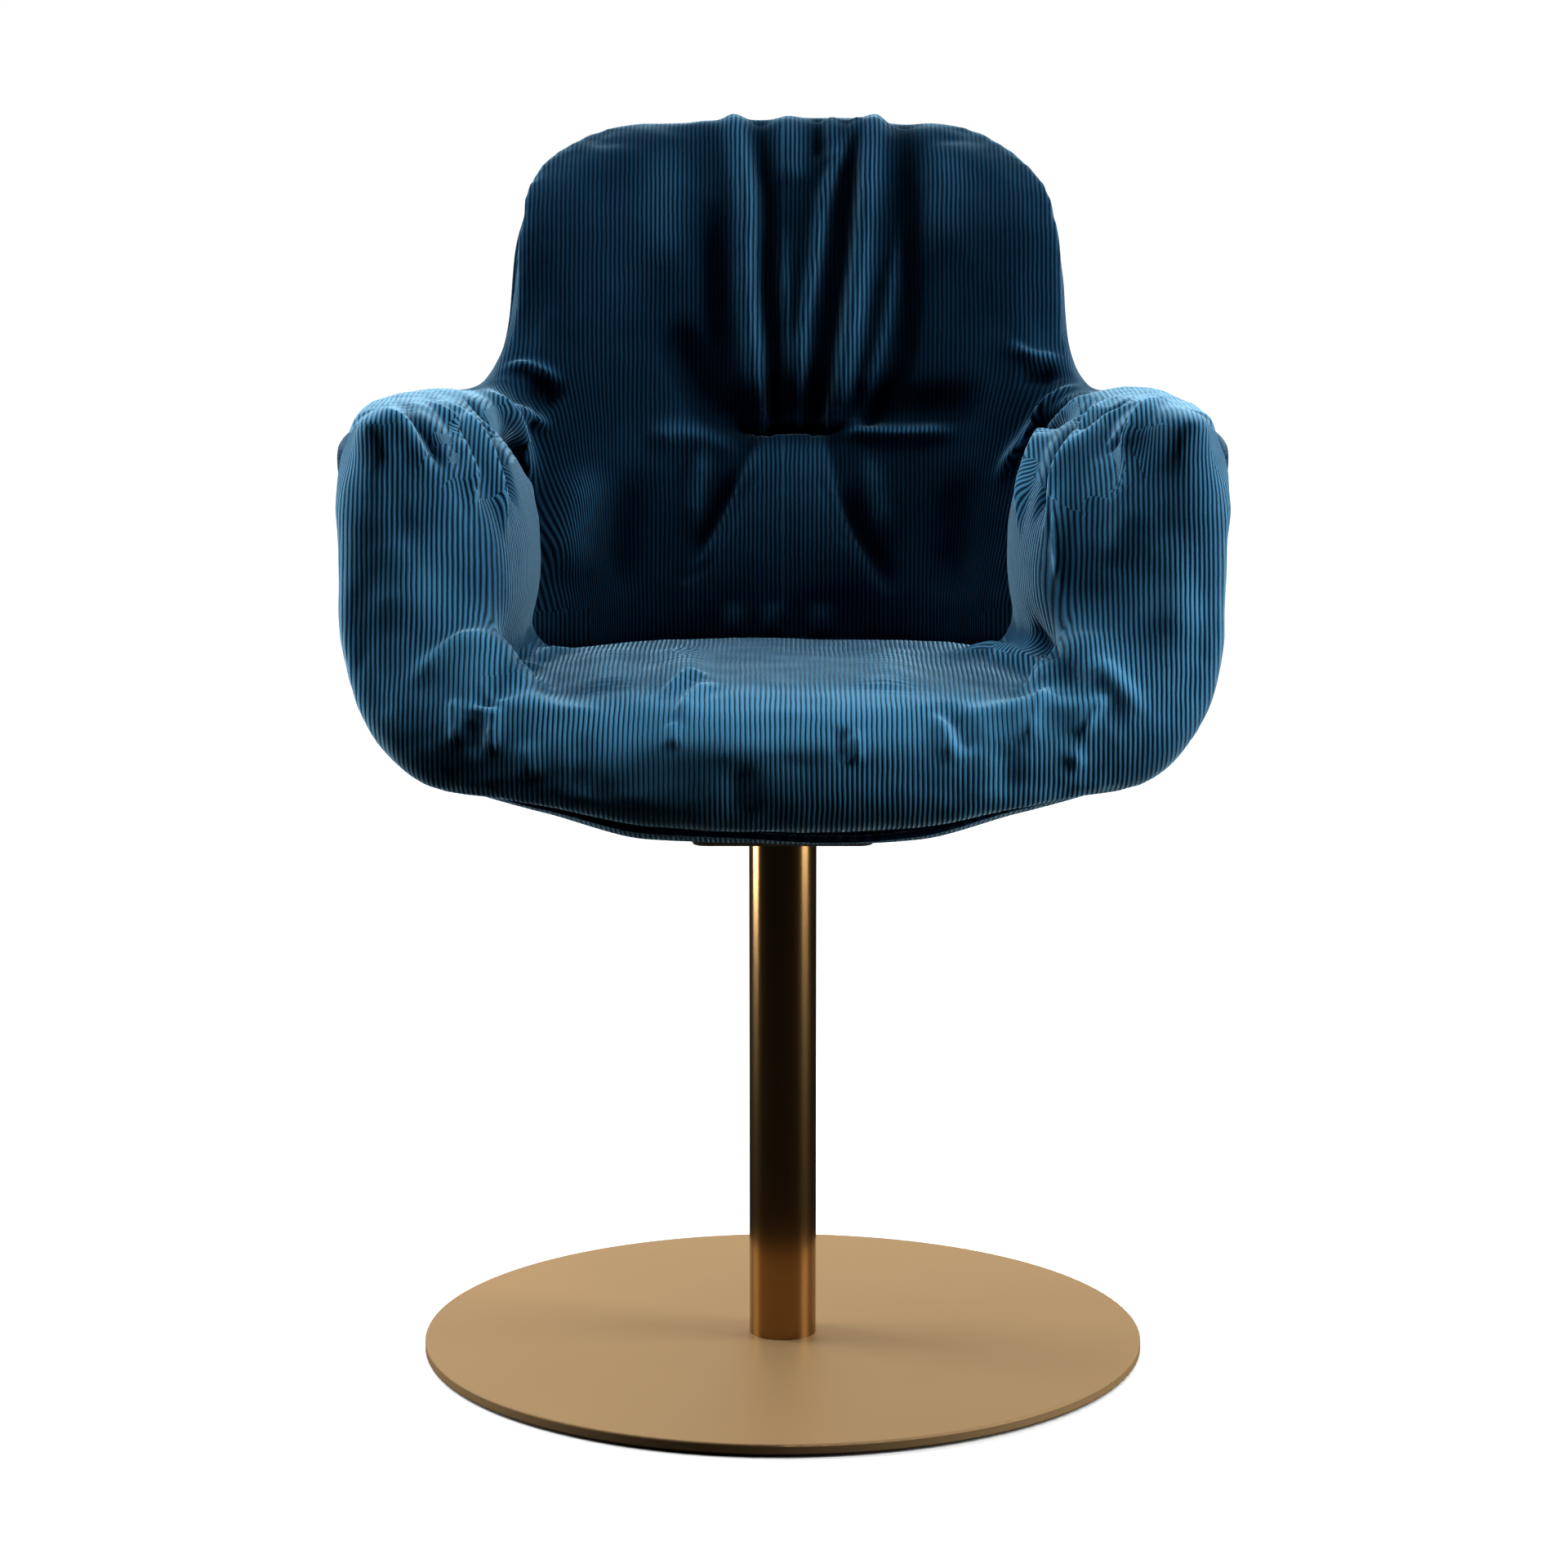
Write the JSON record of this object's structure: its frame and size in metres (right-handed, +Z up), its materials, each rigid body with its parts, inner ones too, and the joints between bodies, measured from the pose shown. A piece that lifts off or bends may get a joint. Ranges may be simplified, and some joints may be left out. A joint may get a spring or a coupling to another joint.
{
  "type": "swivel armchair",
  "caption": "Upholstered bucket armchair with a tufted back, gathered arms and a swivelling seat on a round column and flat disc base.",
  "frame": {"origin": "centre of the felt liner's underside, on the floor and on the column's axis", "axes": "+Z up along the column, +Y to the back of the chair, so that the chair faces -Y; +X is the right-hand side seen from in front"},
  "size_m": [0.6047, 0.5817, 0.882],
  "materials": {
    "bronze_metal": "satin bronze",
    "felt": "pressed felt",
    "plain_steel": "turned",
    "bearing_plastic": "moulded",
    "black_paint": "satin black",
    "blue_corduroy": "fine-wale corduroy",
    "shell_plastic": "moulded",
    "foam": "open-cell foam",
    "webbing": "woven tape"
  },
  "bodies": {
    "base": {"base_plate": "bronze_metal", "floor_liner": "felt", "column_tube": "bronze_metal", "column_foot": "plain_steel", "base_bolt": "plain_steel", "swivel_cartridge": "plain_steel", "upper_bush": "bearing_plastic", "lower_bush": "bearing_plastic"},
    "seat": {"spindle": "plain_steel", "thrust_washer": "bearing_plastic", "spindle_washer": "plain_steel", "retaining_ring": "plain_steel", "seat_mount": "black_paint", "mount_screws": "black_paint", "tee_nuts": "plain_steel", "outer_cover": "blue_corduroy", "shell_core": "shell_plastic", "shell_foam": "foam", "tuft_tape": "webbing", "seat_pad": "blue_corduroy", "back_pad": "blue_corduroy", "arm_pad_left": "blue_corduroy", "arm_pad_right": "blue_corduroy"}
  },
  "joints": [
    {"name": "seat_swivel", "type": "hinge", "parent": "base", "child": "seat", "pos_m": [0, 0, 0.375], "axis": [0, 0, 1], "continuous": true}
  ]
}
